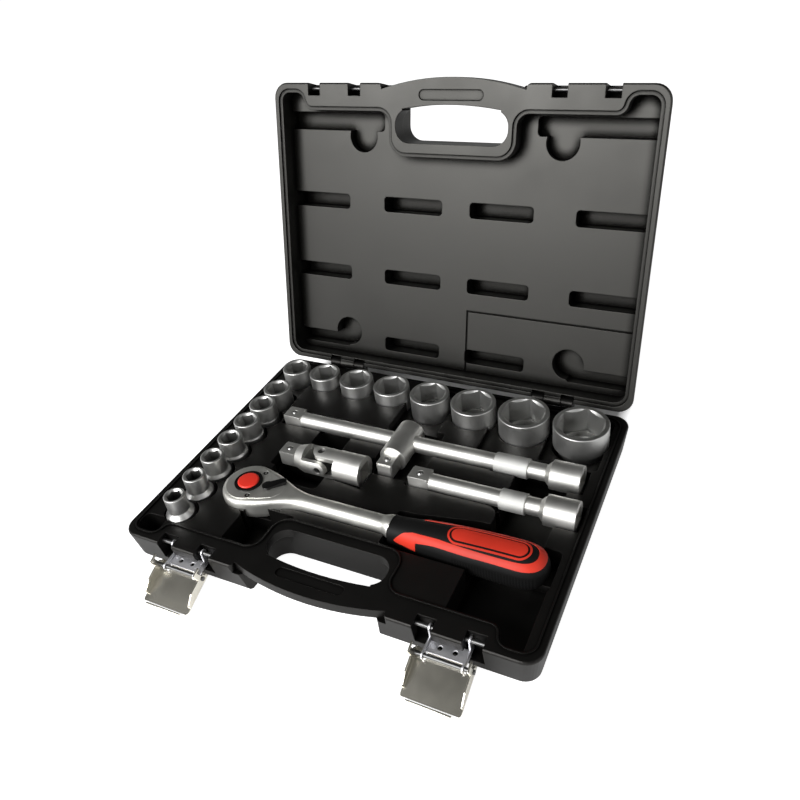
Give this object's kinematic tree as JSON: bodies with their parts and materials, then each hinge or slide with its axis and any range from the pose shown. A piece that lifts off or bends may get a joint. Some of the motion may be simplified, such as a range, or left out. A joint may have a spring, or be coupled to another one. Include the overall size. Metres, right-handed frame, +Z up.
{
  "type": "socket wrench set in case",
  "caption": "Hinged moulded case, open, with a tray of hexagon sockets, a reversible ratchet, extension bars, a sliding head and a universal joint; two sheet latches and a hand hole.",
  "frame": {"origin": "centre of the base's flat underside", "axes": "+X to the right along the hinge, +Y from the latches to the hinge, +Z up; the lid stands open at the back"},
  "size_m": [0.3158, 0.362, 0.2639],
  "materials": {
    "base_plastic": "semi-gloss, fine moulded grain",
    "lid_plastic": "semi-gloss, fine moulded grain",
    "latch_steel": "bright plated sheet",
    "pin_steel": "drawn wire",
    "socket_chrome": "satin chrome",
    "tool_chrome": "satin chrome",
    "ratchet_steel": "satin chrome, fine brushing",
    "drive_steel": "satin",
    "inner_steel": "satin",
    "button_red": "semi-gloss",
    "black_trim": "matte",
    "screw_black": "blackened",
    "grip_black": "soft, satin",
    "grip_red": "soft, satin"
  },
  "bodies": {
    "base": {"case_base": "base_plastic", "hinge_pin_left": "pin_steel", "hinge_pin_right": "pin_steel", "link_pin_left": "pin_steel", "link_pin_right": "pin_steel"},
    "lid": {"case_lid": "lid_plastic", "strike_pin_left": "pin_steel", "strike_pin_right": "pin_steel"},
    "link_left": {"latch_link_left": "latch_steel"},
    "lever_left": {"latch_lever_left": "latch_steel", "lever_pin_left": "pin_steel"},
    "link_right": {"latch_link_right": "latch_steel"},
    "lever_right": {"latch_lever_right": "latch_steel", "lever_pin_right": "pin_steel"},
    "loose_socket_10": {"socket_10": "socket_chrome"},
    "loose_socket_11": {"socket_11": "socket_chrome"},
    "loose_socket_12": {"socket_12": "socket_chrome"},
    "loose_socket_13": {"socket_13": "socket_chrome"},
    "loose_socket_14": {"socket_14": "socket_chrome"},
    "loose_socket_15": {"socket_15": "socket_chrome"},
    "loose_socket_16": {"socket_16": "socket_chrome"},
    "loose_socket_17": {"socket_17": "socket_chrome"},
    "loose_socket_19": {"socket_19": "socket_chrome"},
    "loose_socket_21": {"socket_21": "socket_chrome"},
    "loose_socket_22": {"socket_22": "socket_chrome"},
    "loose_socket_24": {"socket_24": "socket_chrome"},
    "loose_socket_27": {"socket_27": "socket_chrome"},
    "loose_socket_30": {"socket_30": "socket_chrome"},
    "loose_socket_32": {"socket_32": "socket_chrome"},
    "ratchet": {"ratchet_body": "ratchet_steel", "ratchet_cover": "ratchet_steel", "cover_screws": "screw_black", "grip_core": "grip_black", "grip_inlay": "grip_red"},
    "gear": {"drive_gear": "drive_steel", "button_bezel": "black_trim", "button_spring": "inner_steel"},
    "button": {"release_button": "button_red"},
    "catch_ball": {"drive_ball": "inner_steel"},
    "selector": {"reversing_lever": "black_trim"},
    "pawl_body": {"pawl": "inner_steel"},
    "long_bar": {"long_extension": "tool_chrome", "long_extension_ball": "inner_steel"},
    "slider": {"slide_head": "tool_chrome", "slide_head_ball": "inner_steel", "slide_detent": "inner_steel"},
    "short_bar": {"short_extension": "tool_chrome", "short_extension_ball": "inner_steel"},
    "joint_drive": {"joint_drive_yoke": "tool_chrome", "joint_ball": "inner_steel"},
    "joint_middle": {"joint_cross": "inner_steel"},
    "joint_socket": {"joint_socket_yoke": "tool_chrome"}
  },
  "joints": [
    {"name": "lid_hinge", "type": "hinge", "parent": "base", "child": "lid", "pos_m": [0, 0.1185, 0.0292], "axis": [-1, 0, 0], "range_deg": [-105.45, 0]},
    {"name": "link_left_hinge", "type": "hinge", "parent": "base", "child": "link_left", "pos_m": [-0.1007, -0.1115, 0.022], "axis": [-1, 0, 0], "range_deg": [0, 92.8]},
    {"name": "lever_left_hinge", "type": "hinge", "parent": "link_left", "child": "lever_left", "pos_m": [-0.1007, -0.12504, 0.01233], "axis": [-1, 0, 0], "range_deg": [0, 19.2]},
    {"name": "link_right_hinge", "type": "hinge", "parent": "base", "child": "link_right", "pos_m": [0.1007, -0.1115, 0.022], "axis": [-1, 0, 0], "range_deg": [0, 92.8]},
    {"name": "lever_right_hinge", "type": "hinge", "parent": "link_right", "child": "lever_right", "pos_m": [0.1007, -0.12504, 0.01233], "axis": [-1, 0, 0], "range_deg": [0, 19.2]},
    {"name": "socket_10_lift", "type": "slide", "parent": "base", "child": "loose_socket_10", "axis": [0, 0, 1], "range_m": [0, 0.1]},
    {"name": "socket_11_lift", "type": "slide", "parent": "base", "child": "loose_socket_11", "axis": [0, 0, 1], "range_m": [0, 0.1]},
    {"name": "socket_12_lift", "type": "slide", "parent": "base", "child": "loose_socket_12", "axis": [0, 0, 1], "range_m": [0, 0.1]},
    {"name": "socket_13_lift", "type": "slide", "parent": "base", "child": "loose_socket_13", "axis": [0, 0, 1], "range_m": [0, 0.1]},
    {"name": "socket_14_lift", "type": "slide", "parent": "base", "child": "loose_socket_14", "axis": [0, 0, 1], "range_m": [0, 0.1]},
    {"name": "socket_15_lift", "type": "slide", "parent": "base", "child": "loose_socket_15", "axis": [0, 0, 1], "range_m": [0, 0.1]},
    {"name": "socket_16_lift", "type": "slide", "parent": "base", "child": "loose_socket_16", "axis": [0, 0, 1], "range_m": [0, 0.1]},
    {"name": "socket_17_lift", "type": "slide", "parent": "base", "child": "loose_socket_17", "axis": [0, 0, 1], "range_m": [0, 0.1]},
    {"name": "socket_19_lift", "type": "slide", "parent": "base", "child": "loose_socket_19", "axis": [0, 0, 1], "range_m": [0, 0.1]},
    {"name": "socket_21_lift", "type": "slide", "parent": "base", "child": "loose_socket_21", "axis": [0, 0, 1], "range_m": [0, 0.1]},
    {"name": "socket_22_lift", "type": "slide", "parent": "base", "child": "loose_socket_22", "axis": [0, 0, 1], "range_m": [0, 0.1]},
    {"name": "socket_24_lift", "type": "slide", "parent": "base", "child": "loose_socket_24", "axis": [0, 0, 1], "range_m": [0, 0.1]},
    {"name": "socket_27_lift", "type": "slide", "parent": "base", "child": "loose_socket_27", "axis": [0, 0, 1], "range_m": [0, 0.1]},
    {"name": "socket_30_lift", "type": "slide", "parent": "base", "child": "loose_socket_30", "axis": [0, 0, 1], "range_m": [0, 0.1]},
    {"name": "socket_32_lift", "type": "slide", "parent": "base", "child": "loose_socket_32", "axis": [0, 0, 1], "range_m": [0, 0.1]},
    {"name": "ratchet_lift", "type": "slide", "parent": "base", "child": "ratchet", "axis": [0, 0, 1], "range_m": [0, 0.1]},
    {"name": "gear_spin", "type": "hinge", "parent": "ratchet", "child": "gear", "pos_m": [-0.089, -0.0485, 0.02], "axis": [0, 0, 1], "continuous": true},
    {"name": "button_press", "type": "slide", "parent": "gear", "child": "button", "axis": [0, 0, -1], "range_m": [0, 0.0025], "stiffness_N_per_m": 800, "springref_m": -0.002},
    {"name": "ball_retract", "type": "slide", "parent": "gear", "child": "catch_ball", "axis": [-1, 0, 0], "range_m": [0, 0.0011]},
    {"name": "lever_turn", "type": "hinge", "parent": "ratchet", "child": "selector", "pos_m": [-0.0715, -0.0485, 0.0335], "axis": [0, 0, -1], "range_deg": [0, 72]},
    {"name": "pawl_turn", "type": "hinge", "parent": "ratchet", "child": "pawl_body", "pos_m": [-0.0715, -0.0485, 0.0265], "axis": [0, 0, -1], "range_deg": [0, 14.4]},
    {"name": "long_bar_lift", "type": "slide", "parent": "base", "child": "long_bar", "axis": [0, 0, 1], "range_m": [0, 0.1]},
    {"name": "slider_travel", "type": "slide", "parent": "long_bar", "child": "slider", "axis": [1, 0, 0], "range_m": [-0.003, 0.014]},
    {"name": "short_bar_lift", "type": "slide", "parent": "base", "child": "short_bar", "axis": [0, 0, 1], "range_m": [0, 0.1]},
    {"name": "joint_lift", "type": "slide", "parent": "base", "child": "joint_drive", "axis": [0, 0, 1], "range_m": [0, 0.1]},
    {"name": "joint_pitch", "type": "hinge", "parent": "joint_drive", "child": "joint_middle", "pos_m": [-0.049, -0.0055, 0.028], "axis": [0, -1, 0], "range_deg": [0, 45]},
    {"name": "joint_yaw", "type": "hinge", "parent": "joint_middle", "child": "joint_socket", "pos_m": [-0.049, -0.0055, 0.028], "axis": [0, 0, 1], "range_deg": [-6, 9]}
  ],
  "couplings": [
    {"joint": "ball_retract", "follows": "button_press", "ratio": 0.44},
    {"joint": "pawl_turn", "follows": "lever_turn", "ratio": 0.2}
  ]
}
